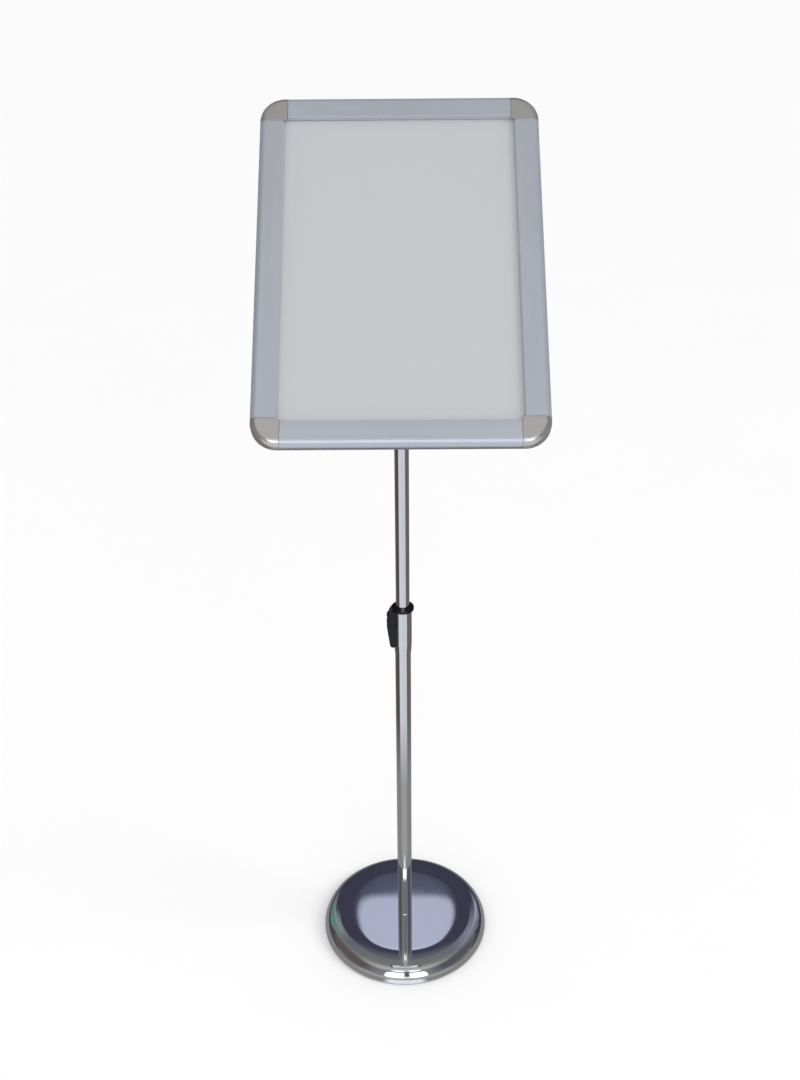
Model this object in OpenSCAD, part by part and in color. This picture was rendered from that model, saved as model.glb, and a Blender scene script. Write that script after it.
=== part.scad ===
// Height-adjustable pedestal sign stand: weighted chrome base, two-stage tube with a flip-lever clamp,
// tilting and turning head, and a four-rail snap-open sheet frame.
// Origin: centre of the base's underside, on the floor. +Z is up, the sign faces -Y, +X is its right side.

/* [Base] */
// Outer diameter of the base
base_d = 260; // [240:1:300]
// Height of the cover's flat top above the floor
base_h = 26; // [25:0.5:34]
// Rounding radius of the rim
rim_r = 22; // [16:0.5:22]
// Drop of the cover from its flat top to the rim
dome_drop = 2; // [1:0.1:2.5]
// Thickness of the pressed cover
cover_t = 1.2; // [0.8:0.1:1.5]
// Thickness of the floor pad
pad_t = 2; // [1.5:0.5:3]
// Diameter of the weight
weight_d = 164; // [140:1:164]

/* [Pole] */
// Outer diameter of the lower tube
lower_d = 22.2; // [22:0.1:23]
// Outer diameter of the upper tube
upper_d = 19.05; // [18.8:0.05:19.1]
// Wall thickness of both tubes
tube_t = 1; // [0.9:0.05:1.1]
// Height of the lower tube's top end
lower_top = 563; // [550:1:570]
// Height of the upper tube's bottom end at rest
upper_foot = 335.3; // [320:0.1:360]

/* [Clamp] */
// Outer diameter of the chrome sleeve
sleeve_d = 25; // [24.6:0.1:26]
// Height where the sleeve starts to swell from the tube
sleeve_foot = 541; // [530:1:545]
// Height where the sleeve reaches its full diameter
sleeve_shoulder = 555.5; // [550:0.5:560]
// Height of the sleeve's top, under the bush's flange
sleeve_top = 613.5; // [612:0.5:616]
// Diameter of the bush's flange
flange_d = 31.2; // [30:0.1:34]
// Thickness of the bush's flange
flange_h = 3.5; // [3:0.1:5]
// Distance of the lever's pin from the pole's axis
pin_x = 16; // [15.8:0.1:16.5]
// Height of the lever's pin
pin_z = 598.5; // [597:0.5:600]
// Half of the lever's width
lever_half_w = 9.7; // [9:0.1:9.8]

/* [Head] */
// Height of the tilt bolt
pivot_z = 1085; // [1020:1:1200]
// Lean of the sign back from vertical, in degrees
tilt = 49.5; // [0:0.5:90]
// Distance from the tilt bolt to the frame's back plane
back_off = 35; // [35:0.5:45]

/* [Frame] */
// Outer width of the frame
frame_w = 341; // [300:1:420]
// Outer height of the frame
frame_h = 464; // [400:1:600]
// Width of a rail
rail_w = 31; // [31:0.5:33]
// Thickness of the frame, back plane to rail face
frame_t = 15; // [14.5:0.5:16]
// Side of a corner cap
cap_w = 34; // [34:0.5:38]
// Rounding radius of the rail's outer edge
edge_r = 8; // [6:0.5:8]
// Wall thickness of the rails
rail_t = 1.2; // [1:0.1:1.4]

/* [Hidden] */
$fn = 96;
eps = 0.01;

// Base
base_r = base_d / 2;
rim_c = base_r - rim_r;                 // radius of the circle the rim is rounded about
dome_end = 8;                           // slope of the cover where the rim begins, in degrees
dome_r = dome_drop / (1 - cos(dome_end));
flat_r = rim_c + (rim_r - dome_r) * sin(dome_end);
rim_z = base_h - dome_drop - rim_r * cos(dome_end);
weight_top = base_h - cover_t;
pan_t = 1.2;
weight_z = pad_t + pan_t;
bolt_r = 4;
bolt_hole_r = 4.25;
bolt_head_h = 5.5;
washer_t = 2;
washer_z = weight_z + 6;
pocket_r = 14;
nut_top = 55;                           // top of the threaded insert in the lower tube

// Pole
lower_r = lower_d / 2;
lower_bore_r = lower_r - tube_t;
upper_r = upper_d / 2;
upper_bore_r = upper_r - tube_t;
running = 0.075;                        // radial running clearance
gap = 0.3;                              // clearance between faces that move past each other
guide_h = 15;
guide_bore_r = 5.5;
spigot_h = 25;
upper_top = pivot_z - 30;

// Clamp
sleeve_r = sleeve_d / 2;
bush_r = lower_r + 0.2;
bush_bore_r = upper_r + running;
notch_half_w = lever_half_w + 0.2;
slot_half_w = 5.3;                      // half width of the slot between the bush's ears
hub_half_w = slot_half_w - gap;
ear_r = 6.6;
pin_r = 1.5;
hug_r = sleeve_r + 0.4;                 // hollow of the lever that lies against the sleeve
cam_r = 4.1;
cam_shift = 0.2;
pad_outer_r = 11.4;

// Head, in a frame that leans back with the sign and has its origin on the tilt bolt
tongue_half_w = 5;
tongue_r = 12;
washer_x = tongue_half_w + gap;
cheek_x = washer_x + 1;
cheek_t = 3;
m6_r = 3;
m6_corner_r = 5.77;
m6_nut_h = 5;
m4_r = 2;
m4_nut_h = 3.2;
sink_z = 2.6;                           // countersink: start above the panel's back face
sink_r = 3.4;
rivet_r = 1.6;
rivet_z = upper_top - 13;
plug_h = 26;
collar_h = 5;
bracket_y = -36.2;                      // front face of the bracket's base plate
bracket_half_w = 30;
bracket_half_h = 25;

// Frame, in a flat frame: X right, Y up the sheet, Z out of the back plane
cap_t = frame_t + 0.3;
ledge_z = 4.4;                          // top of the ledge that carries the back panel
panel_t = 4;
panel_inset = 9;
sheet_t = 0.8;
sheet_inset = 20;
panel_z = ledge_z + 0.1;
sheet_z = panel_z + panel_t + 0.1;
plate_t = 2;
plate_x = 50;
plate_y = 35;
hinge_s = 2.2;                          // hinge axis of a snap rail: in from the outer edge
hinge_t = 6;                            // and out of the back plane
bead_r = 0.95;
claw_bore_r = bead_r + gap;
claw_r = 2;
lip_z = 9.8;                            // lowest point of the snap rail's inner lip
bevel_w = 1.5;
key_z = 1.6;
key_t = 2.4;
key_reach = 20;
key_in = 4;
key_out = 11.5;
cap_wall = 1.5;
chamfer = 3;
screw_ring_r = 25;                      // cap screw's distance from the corner's centre of rounding

// ---------- helpers ----------

module tube(r_out, r_in, z0, z1) {
    translate([0, 0, z0]) difference() {
        cylinder(r = r_out, h = z1 - z0);
        translate([0, 0, -1]) cylinder(r = r_in, h = z1 - z0 + 2);
    }
}

// cylinder along X
module rod_x(r, x0, x1) {
    translate([x0, 0, 0]) rotate([0, 90, 0]) cylinder(r = r, h = x1 - x0);
}

// cylinder along Y
module rod_y(r, y0, y1) {
    translate([0, y0, 0]) rotate([-90, 0, 0]) cylinder(r = r, h = y1 - y0);
}

module hex(r, h) {
    cylinder(r = r, h = h, $fn = 6);
}

module at_pin() {
    translate([-pin_x, 0, pin_z]) children();
}

module at_head() {
    translate([0, 0, pivot_z]) rotate([-tilt, 0, 0]) children();
}

module at_frame() {
    at_head() translate([0, -back_off, 0]) rotate([90, 0, 0]) children();
}

// sweeps a rail section along side k: 0 bottom, 1 right, 2 top, 3 left
module along_side(k, length) {
    half = k % 2 == 0 ? frame_h / 2 : frame_w / 2;
    rotate([0, 0, 90 * k]) translate([0, -half, 0]) rotate([90, 0, 90])
        linear_extrude(length, center = true) children();
}

function side_length(k) = (k % 2 == 0 ? frame_w : frame_h) - 2 * cap_w;

// puts a corner piece, drawn inward from the edges, at the corner with signs sx, sy
module at_corner(sx, sy) {
    translate([sx * frame_w / 2, sy * frame_h / 2, 0])
        mirror([sx > 0 ? 1 : 0, 0, 0]) mirror([0, sy > 0 ? 1 : 0, 0]) children();
}

module each_corner() {
    for (sx = [-1, 1], sy = [-1, 1]) at_corner(sx, sy) children();
}

// ---------- base ----------

// points on a circle about the centre c, from angle a0 to a1
function turn(c, r, a0, a1, n) =
    [for (i = [0 : n]) c + r * [cos(a0 + (a1 - a0) * i / n), sin(a0 + (a1 - a0) * i / n)]];

// half section of a solid dome with a rounded rim, shrunk by t
module dome_section(t, foot) {
    polygon(concat(
        [[0, foot], [base_r - t, foot]],
        turn([rim_c, rim_z], rim_r - t, 0, 90 - dome_end, 24),
        turn([flat_r, base_h - dome_r], dome_r - t, 90 - dome_end * 7 / 8, 90, 7),
        [[0, base_h - t]]
    ));
}

module base_cover() {
    color([0.78, 0.79, 0.82]) difference() {
        rotate_extrude() difference() {
            dome_section(0, pad_t);
            dome_section(cover_t, pad_t - 1);
        }
        translate([0, 0, base_h - 5]) cylinder(r = bolt_hole_r, h = 10);
    }
}

module base_weight() {
    color([0.25, 0.25, 0.26]) difference() {
        translate([0, 0, weight_z]) cylinder(d = weight_d, h = weight_top - weight_z);
        translate([0, 0, weight_z - 1]) cylinder(r = pocket_r, h = washer_z + washer_t - weight_z + 1);
        cylinder(r = bolt_hole_r, h = base_h);
    }
}

module base_pan() {
    color([0.2, 0.2, 0.21]) difference() {
        translate([0, 0, pad_t]) cylinder(r = base_r - cover_t - 0.1, h = pan_t);
        translate([0, 0, pad_t - 1]) cylinder(r = pocket_r, h = pan_t + 2);
    }
}

module base_pad() {
    color([0.08, 0.08, 0.08]) cylinder(r = base_r - 8, h = pad_t);
}

module pole_bolt() {
    color([0.6, 0.6, 0.58]) {
        translate([0, 0, washer_z - bolt_head_h]) hex(7.5, bolt_head_h);
        translate([0, 0, washer_z]) cylinder(r = bolt_r, h = nut_top - 5 - washer_z);
    }
}

module bolt_washer() {
    color([0.65, 0.65, 0.62]) tube(12, bolt_hole_r, washer_z, washer_z + washer_t);
}

module foot_nut() {
    color([0.6, 0.6, 0.58]) tube(lower_bore_r, bolt_r, base_h, nut_top);
}

// ---------- pole and clamp ----------

module lower_tube() {
    color([0.8, 0.81, 0.84]) tube(lower_r, lower_bore_r, base_h, lower_top);
}

module clamp_sleeve() {
    lead_r = lower_r + 0.5;
    color([0.8, 0.81, 0.84]) difference() {
        union() {
            translate([0, 0, sleeve_foot])
                cylinder(r1 = lead_r, r2 = sleeve_r, h = sleeve_shoulder - sleeve_foot);
            translate([0, 0, sleeve_shoulder]) cylinder(r = sleeve_r, h = sleeve_top - sleeve_shoulder);
        }
        translate([0, 0, sleeve_foot - 1]) cylinder(r = lower_r, h = sleeve_top);
        translate([0, 0, lower_top]) cylinder(r = bush_r + 0.05, h = sleeve_top);
        // notch for the bush's ears and the lever's cam
        translate([-sleeve_r - 1, -notch_half_w, pin_z - 8.2])
            cube([sleeve_r + 1, 2 * notch_half_w, sleeve_top]);
    }
}

module ear_outline() {
    circle(r = ear_r);
    translate([pin_x, -pin_z]) polygon([
        [-8, pin_z - ear_r], [-pin_x, pin_z - ear_r], [-pin_x - 3.3, pin_z + 5.6],
        [-pin_x - 3.4, pin_z + 8.5], [-pin_x + 0.8, sleeve_top], [-8, sleeve_top]
    ]);
}

module clamp_bush() {
    slot_h = 15;
    split_w = 1.2;
    color([0.05, 0.05, 0.06]) difference() {
        union() {
            translate([0, 0, lower_top + gap]) cylinder(r = bush_r, h = sleeve_top - lower_top);
            translate([0, 0, sleeve_top]) cylinder(d = flange_d, h = flange_h);
            at_pin() rotate([90, 0, 0])
                linear_extrude(2 * lever_half_w, center = true) ear_outline();
        }
        translate([0, 0, lower_top - 1]) cylinder(r = bush_bore_r, h = 80);
        // slot for the lever's hub and the brake pad
        translate([-pin_x - 12, -slot_half_w, pin_z - slot_h / 2])
            cube([pin_x + 4, 2 * slot_half_w, slot_h + 1]);
        at_pin() rod_y(pin_r, -lever_half_w - 1, lever_half_w + 1);
        // split at the back, so that the bush can close on the tube
        translate([0, -split_w / 2, lower_top - 1]) cube([bush_r + 1, split_w, 30]);
    }
}

module brake_pad() {
    pad_h = 14;
    half_w = slot_half_w - 0.2;
    color([0.72, 0.6, 0.3]) intersection() {
        tube(pad_outer_r, bush_bore_r, pin_z - pad_h / 2, pin_z + pad_h / 2);
        translate([-20, -half_w, pin_z - pad_h / 2]) cube([20, 2 * half_w, pad_h]);
    }
}

module lever_pin() {
    color([0.6, 0.6, 0.6]) at_pin() rod_y(pin_r, -lever_half_w, lever_half_w);
}

// side view of the lever's paddle, from just under the ears to its rounded tip
module paddle_outline() {
    hull() {
        translate([-pin_x - 0.9, pin_z - 8]) circle(r = 5.6, $fn = 32);
        translate([-pin_x + 2.4, pin_z - 40.2]) circle(r = 4.8, $fn = 32);
        translate([-11, pin_z - 42]) circle(r = 2.5, $fn = 24);
        translate([-11, pin_z - 12]) circle(r = 2.5, $fn = 24);
    }
}

module clamp_lever() {
    color([0.05, 0.05, 0.06]) difference() {
        union() {
            difference() {
                rotate([90, 0, 0]) linear_extrude(2 * lever_half_w, center = true) paddle_outline();
                at_pin() rod_y(ear_r + 0.5, -20, 20);
                translate([-pin_x, -20, pin_z - ear_r - 0.5]) cube([pin_x, 40, 20]);
            }
            at_pin() translate([cam_shift, 0, 0]) rod_y(cam_r, -hub_half_w, hub_half_w);
            translate([-pin_x - 4, -hub_half_w, pin_z - 9]) cube([7, 2 * hub_half_w, 9]);
        }
        translate([0, 0, pin_z - 60]) cylinder(r = hug_r, h = 60);
        at_pin() rod_y(pin_r + 0.06, -20, 20);
    }
}

module guide_bush() {
    foot = upper_foot - gap - guide_h;
    color([0.1, 0.1, 0.11]) difference() {
        union() {
            translate([0, 0, foot]) cylinder(r = lower_bore_r - running, h = guide_h);
            translate([0, 0, foot + guide_h]) cylinder(r = upper_bore_r - running, h = spigot_h);
        }
        translate([0, 0, foot - 1]) cylinder(r = guide_bore_r, h = guide_h + spigot_h + 2);
    }
}

module upper_tube() {
    color([0.8, 0.81, 0.84]) difference() {
        tube(upper_r, upper_bore_r, upper_foot, upper_top);
        translate([0, 0, rivet_z]) rod_y(rivet_r, -20, 20);
    }
}

module mast_knuckle() {
    color([0.06, 0.06, 0.07]) difference() {
        union() {
            translate([0, 0, upper_top - plug_h]) cylinder(r = upper_bore_r, h = plug_h + 1);
            translate([0, 0, upper_top]) cylinder(r = upper_r + 0.4, h = collar_h);
            translate([-tongue_half_w, -8, upper_top + collar_h - 1])
                cube([2 * tongue_half_w, 16, pivot_z - upper_top - collar_h + 1]);
            translate([0, 0, pivot_z]) rod_x(tongue_r, -tongue_half_w, tongue_half_w);
        }
        translate([0, 0, pivot_z]) rod_x(m6_r + 0.06, -20, 20);
        translate([0, 0, rivet_z]) rod_y(rivet_r, -20, 20);
    }
}

module knuckle_rivet() {
    dome_r = 3.4;
    color([0.65, 0.65, 0.66]) translate([0, 0, rivet_z]) {
        rod_y(rivet_r, -upper_r - 0.4, upper_r + 0.4);
        for (s = [-1, 1]) intersection() {
            translate([0, s * (upper_r - 1.6), 0]) sphere(r = dome_r);
            rod_y(3, s > 0 ? upper_r : -upper_r - 2, s > 0 ? upper_r + 2 : -upper_r);
        }
    }
}

// ---------- tilting head ----------

module tilt_bracket() {
    color([0.07, 0.07, 0.08]) at_head() difference() {
        union() {
            for (s = [-1, 1]) {
                translate([s > 0 ? cheek_x : -cheek_x - cheek_t, bracket_y + 1, -tongue_r])
                    cube([cheek_t, -bracket_y - 1, 2 * tongue_r]);
                rod_x(tongue_r, s > 0 ? cheek_x : -cheek_x - cheek_t, s > 0 ? cheek_x + cheek_t : -cheek_x);
            }
            translate([-bracket_half_w, bracket_y, -bracket_half_h])
                cube([2 * bracket_half_w, 3, 2 * bracket_half_h]);
        }
        rod_x(m6_r, -30, 30);
        rod_y(m6_r + 0.06, bracket_y - 1, bracket_y + 4);
    }
}

module tilt_bolt() {
    head_x = cheek_x + cheek_t;
    color([0.65, 0.65, 0.64]) at_head() {
        rod_x(m6_r, -head_x - 7, head_x);
        translate([head_x, 0, 0]) rotate([0, 90, 0]) hex(m6_corner_r, 4);
    }
}

module tilt_nut() {
    color([0.6, 0.6, 0.62]) at_head() translate([-cheek_x - cheek_t - 6, 0, 0]) rotate([0, 90, 0])
        difference() {
            hex(m6_corner_r, 6);
            translate([0, 0, -1]) cylinder(r = m6_r, h = 8);
        }
}

module tilt_washers() {
    color([0.9, 0.9, 0.86]) at_head() for (x = [washer_x, -cheek_x])
        difference() {
            rod_x(9, x, x + 1);
            rod_x(m6_r + 0.1, x - 1, x + 2);
        }
}

// ---------- turning mount on the back of the frame ----------

module each_plate_screw() {
    for (x = [-plate_x, plate_x], y = [-plate_y, plate_y]) translate([x, y, 0]) children();
}

module mount_plate() {
    half_w = plate_x + 10;
    half_h = plate_y + 10;
    color([0.07, 0.07, 0.08]) at_frame() difference() {
        translate([0, 0, panel_z - plate_t]) union() {
            translate([-half_w + 6, -half_h, 0]) cube([2 * half_w - 12, 2 * half_h, plate_t]);
            translate([-half_w, -half_h + 6, 0]) cube([2 * half_w, 2 * half_h - 12, plate_t]);
            for (x = [-1, 1], y = [-1, 1])
                translate([x * (half_w - 6), y * (half_h - 6), 0]) cylinder(r = 6, h = plate_t);
        }
        cylinder(r = m6_r, h = 10);
        each_plate_screw() cylinder(r = m4_r, h = 10);
    }
}

module turn_disc() {
    z0 = panel_z - plate_t - 1;
    color([0.9, 0.9, 0.86]) at_frame() tube(24, m6_r, z0, z0 + 1);
}

module pivot_stud() {
    color([0.65, 0.65, 0.64]) at_frame() translate([0, 0, -10.5]) cylinder(r = m6_r, h = 10.5 + panel_z);
}

module stud_washer() {
    color([0.7, 0.7, 0.68]) at_frame() tube(6, m6_r, -3.1, -2.1);
}

module stud_nut() {
    color([0.6, 0.6, 0.62]) at_frame() translate([0, 0, -3.1 - m6_nut_h]) difference() {
        hex(m6_corner_r, m6_nut_h);
        translate([0, 0, -1]) cylinder(r = m6_r, h = m6_nut_h + 2);
    }
}

module plate_screws() {
    color([0.65, 0.65, 0.64]) at_frame() each_plate_screw() {
        translate([0, 0, -1.2]) cylinder(r = m4_r, h = panel_z + 1.2 + sink_z + 0.2);
        translate([0, 0, panel_z + sink_z]) cylinder(r1 = m4_r, r2 = sink_r, h = panel_t - sink_z);
    }
}

module plate_nuts() {
    color([0.6, 0.6, 0.62]) at_frame() each_plate_screw()
        translate([0, 0, panel_z - plate_t - m4_nut_h]) difference() {
            hex(4, m4_nut_h);
            translate([0, 0, -1]) cylinder(r = m4_r, h = m4_nut_h + 2);
        }
}

// ---------- sheet frame ----------

// plate with rounded corners, inset from the frame's outline
module inset_plate(inset, z, t, corner_r) {
    w = frame_w / 2 - inset;
    h = frame_h / 2 - inset;
    translate([0, 0, z]) {
        translate([-w + corner_r, -h, 0]) cube([2 * (w - corner_r), 2 * h, t]);
        translate([-w, -h + corner_r, 0]) cube([2 * w, 2 * (h - corner_r), t]);
        for (x = [-1, 1], y = [-1, 1])
            translate([x * (w - corner_r), y * (h - corner_r), 0]) cylinder(r = corner_r, h = t);
    }
}

module back_panel() {
    color([0.93, 0.94, 0.95]) at_frame() difference() {
        inset_plate(panel_inset, panel_z, panel_t, rail_w - panel_inset);
        each_plate_screw() {
            translate([0, 0, panel_z - 1]) cylinder(r = m4_r + 0.1, h = panel_t);
            translate([0, 0, panel_z + sink_z])
                cylinder(r1 = m4_r + 0.1, r2 = sink_r + 0.1, h = panel_t - sink_z + eps);
        }
    }
}

module cover_sheet() {
    color([0.85, 0.87, 0.9, 0.5]) at_frame() inset_plate(sheet_inset, sheet_z, sheet_t, 4);
}

module back_rail_section() {
    foot_s = 0.4;
    step_s = 12;
    wall = 1.2;
    translate([foot_s, 0]) square([step_s + wall - foot_s, 1.4]);
    translate([foot_s, 0]) square([2.8, 3.3]);
    translate([hinge_s + gap, 3]) square([0.6, hinge_t - 3]);
    translate([hinge_s, hinge_t]) circle(r = bead_r);
    translate([step_s, 0]) square([wall, ledge_z]);
    translate([step_s, ledge_z - wall]) square([rail_w - 1 - step_s, wall]);
}

module back_rail(k) {
    color([0.7, 0.71, 0.74]) at_frame() along_side(k, side_length(k)) back_rail_section();
}

module back_rail_bottom() { back_rail(0); }
module back_rail_right() { back_rail(1); }
module back_rail_top() { back_rail(2); }
module back_rail_left() { back_rail(3); }

module snap_rail_section() {
    bevel_s = rail_w - bevel_w;
    inner_bevel_s = bevel_s - 0.6;
    inner_lip_s = rail_w - 1.4;
    foot_t = hinge_t + 0.2;
    // shell: rounded outer edge, flat face and sloping inner lip
    difference() {
        union() {
            translate([edge_r, frame_t - edge_r]) intersection() {
                circle(r = edge_r);
                translate([-edge_r, 0]) square(edge_r);
            }
            translate([0, foot_t]) square([edge_r, frame_t - edge_r - foot_t]);
            polygon([[edge_r, lip_z], [rail_w, lip_z], [rail_w, lip_z + 0.9],
                     [bevel_s, frame_t], [edge_r, frame_t]]);
        }
        translate([edge_r, frame_t - edge_r]) circle(r = edge_r - rail_t);
        translate([rail_t, 0]) square([edge_r, frame_t - edge_r]);
        polygon([[edge_r, 0], [inner_lip_s, 0], [inner_lip_s, lip_z],
                 [inner_bevel_s, frame_t - rail_t], [edge_r, frame_t - rail_t]]);
    }
    // claw that turns on the back rail's bead
    difference() {
        translate([hinge_s, hinge_t]) circle(r = claw_r);
        translate([hinge_s, hinge_t]) circle(r = claw_bore_r);
        translate([hinge_s, hinge_t]) polygon([[0, 0], [-5, 0], [-5, -5], [5, -5], 5 * [cos(-15), sin(-15)]]);
    }
}

module snap_rail(k) {
    color([0.74, 0.76, 0.8]) at_frame() along_side(k, side_length(k) - 2 * gap) snap_rail_section();
}

module snap_rail_bottom() { snap_rail(0); }
module snap_rail_right() { snap_rail(1); }
module snap_rail_top() { snap_rail(2); }
module snap_rail_left() { snap_rail(3); }

// solid edge section of a corner cap, r out from the corner's centre of rounding
module cap_section(r, round_r, z0, z1) {
    translate([0, z0]) square([r - round_r, z1 - z0]);
    translate([r - round_r, z0]) square([round_r, z1 - round_r - z0]);
    translate([r - round_r, z1 - round_r]) intersection() {
        circle(r = round_r);
        square(round_r);
    }
}

// quarter-round corner with two straight ends, each running on past the corner's centre
module cap_body(r, round_r, z0, z1, end) {
    translate([rail_w, rail_w, 0]) {
        rotate([0, 0, 180]) rotate_extrude(angle = 90) cap_section(r, round_r, z0, z1);
        for (m = [0, 1]) mirror([m, -m, 0]) rotate([90, 0, 90]) linear_extrude(end)
            mirror([1, 0]) cap_section(r, round_r, z0, z1);
        translate([0, 0, z0]) cube([end, end, z1 - z0]);
    }
}

module corner_cap(sx, sy) {
    screw_at = rail_w - screw_ring_r / sqrt(2);
    end = cap_w - rail_w;
    top_z = cap_t - cap_wall;
    color([0.72, 0.72, 0.7]) at_frame() at_corner(sx, sy) difference() {
        union() {
            difference() {
                cap_body(rail_w, edge_r, 0.4, cap_t, end);
                cap_body(rail_w - cap_wall, edge_r - cap_wall, -1, top_z, end + 1);
            }
            // wall along the clipped inner corner
            translate([cap_w - chamfer / 2, cap_w - chamfer / 2, lip_z + 0.4]) rotate([0, 0, 45])
                translate([-2, -chamfer, 0]) cube([4, 2 * chamfer, cap_t - lip_z - 1]);
            translate([screw_at, screw_at, key_z + key_t]) cylinder(r = 2.4, h = top_z + 0.5 - key_z - key_t);
        }
        translate([cap_w - chamfer / 2, cap_w - chamfer / 2, -1]) rotate([0, 0, 45])
            translate([0, -20, 0]) cube([20, 40, cap_t + 2]);
        translate([cap_w, -1, -2]) cube([20, cap_w + 20, cap_t + 4]);
        translate([-1, cap_w, -2]) cube([cap_w + 20, 20, cap_t + 4]);
        translate([screw_at, screw_at, 0]) cylinder(r = 1.5, h = 12);
    }
}

module corner_cap_bottom_left() { corner_cap(-1, -1); }
module corner_cap_bottom_right() { corner_cap(1, -1); }
module corner_cap_top_left() { corner_cap(-1, 1); }
module corner_cap_top_right() { corner_cap(1, 1); }

// stamped plate that runs round the corner and into both back rails
module corner_key() {
    at_ring = screw_ring_r / sqrt(2);
    translate([0, 0, key_z]) difference() {
        union() {
            translate([rail_w, rail_w, 0]) rotate([0, 0, 180]) rotate_extrude(angle = 90)
                translate([rail_w - key_out, 0]) square([key_out - key_in, key_t]);
            translate([rail_w, key_in, 0]) cube([key_reach, key_out - key_in, key_t]);
            translate([key_in, rail_w, 0]) cube([key_out - key_in, key_reach, key_t]);
        }
        translate([rail_w - at_ring, rail_w - at_ring, -1]) cylinder(r = 1.6, h = key_t + 2);
    }
}

module corner_keys() {
    color([0.62, 0.62, 0.64]) at_frame() each_corner() corner_key();
}

module cap_screws() {
    at_ring = screw_ring_r / sqrt(2);
    color([0.65, 0.65, 0.64]) at_frame() each_corner() translate([rail_w - at_ring, rail_w - at_ring, 0]) {
        cylinder(r = 2.8, h = key_z);
        cylinder(r = 1.5, h = 11);
    }
}

// bent strip that pushes the snap rail shut
module spring_section() {
    polygon([
        [11, 1.4], [11, 1.9], [5.4, 1.9], [5.2, 3], [8, 12.6], [9.6, 13.1],
        [9.5, 13.5], [7.6, 13], [4.6, 3], [4.9, 1.4]
    ]);
}

module rail_springs() {
    color([0.5, 0.52, 0.56]) at_frame() for (k = [0 : 3], s = [-1, 1])
        rotate([0, 0, 90 * k]) translate([s * side_length(k) / 4, 0, 0]) rotate([0, 0, -90 * k])
            along_side(k, 14) spring_section();
}

base_cover();
base_weight();
base_pan();
base_pad();
pole_bolt();
bolt_washer();
foot_nut();
lower_tube();
clamp_sleeve();
clamp_bush();
brake_pad();
lever_pin();
clamp_lever();
guide_bush();
upper_tube();
mast_knuckle();
knuckle_rivet();
tilt_bracket();
tilt_bolt();
tilt_nut();
tilt_washers();
mount_plate();
turn_disc();
pivot_stud();
stud_washer();
stud_nut();
plate_screws();
plate_nuts();
back_panel();
cover_sheet();
back_rail_bottom();
back_rail_right();
back_rail_top();
back_rail_left();
corner_keys();
cap_screws();
rail_springs();
corner_cap_bottom_left();
corner_cap_bottom_right();
corner_cap_top_left();
corner_cap_top_right();
snap_rail_bottom();
snap_rail_right();
snap_rail_top();
snap_rail_left();
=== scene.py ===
"""Finished look of a height-adjustable sign stand: chrome base and pole, flip-lever clamp, snap-open frame.

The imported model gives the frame: metres, +Z up, the sign faces -Y and +X is its right side. Outlines and
finishes are given in millimetres and turned into metres where a mesh is made.
"""

import logging
import math
from collections.abc import Iterable, Sequence
from dataclasses import dataclass, field
from enum import Enum

import bmesh
import bpy
from mathutils import Matrix, Vector


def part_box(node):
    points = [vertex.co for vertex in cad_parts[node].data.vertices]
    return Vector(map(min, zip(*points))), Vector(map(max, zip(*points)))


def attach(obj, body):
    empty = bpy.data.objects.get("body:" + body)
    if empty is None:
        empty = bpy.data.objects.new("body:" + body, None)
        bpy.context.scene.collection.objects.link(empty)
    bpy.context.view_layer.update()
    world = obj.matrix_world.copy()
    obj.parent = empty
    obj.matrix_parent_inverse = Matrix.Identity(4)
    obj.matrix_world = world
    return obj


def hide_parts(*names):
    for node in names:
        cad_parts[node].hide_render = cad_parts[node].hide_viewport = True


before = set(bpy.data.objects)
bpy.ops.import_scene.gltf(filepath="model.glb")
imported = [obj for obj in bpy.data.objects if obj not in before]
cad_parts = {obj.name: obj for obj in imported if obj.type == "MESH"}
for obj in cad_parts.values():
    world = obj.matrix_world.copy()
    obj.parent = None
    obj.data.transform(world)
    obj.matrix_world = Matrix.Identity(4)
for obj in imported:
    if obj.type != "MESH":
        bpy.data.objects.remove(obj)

MM = 0.001
log = logging.getLogger("sign_stand")

Colour = tuple[float, float, float]
Triple = tuple[float, float, float]
Tones = tuple[tuple[float, Colour], ...]


class Body(Enum):
    """The moving bodies of the stand."""

    STAND = "stand"
    LEVER = "lever"
    GUIDE = "guide"
    MAST = "mast"
    HEAD = "head"
    SIGN = "sign"
    RAIL_BOTTOM = "rail_bottom"
    RAIL_RIGHT = "rail_right"
    RAIL_TOP = "rail_top"
    RAIL_LEFT = "rail_left"


class Side(Enum):
    """The four sides of the sheet frame, numbered in quarter turns from the bottom."""

    BOTTOM = 0
    RIGHT = 1
    TOP = 2
    LEFT = 3


class Slot(Enum):
    """Names of material slots."""

    CHROME = "chrome"
    CAP_CHROME = "cap_chrome"
    ALUMINIUM = "anodised_aluminium"
    BLACK_PLASTIC = "black_plastic"
    BLACK_STEEL = "black_steel"
    ZINC_STEEL = "zinc_steel"
    NYLON = "nylon"
    CAST_WEIGHT = "cast_weight"
    PAD_RUBBER = "pad_rubber"
    BRASS = "brass_shoe"
    WHITE_BOARD = "white_board"
    CLEAR_SHEET = "clear_sheet"


# ---------- node trees ----------


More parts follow.
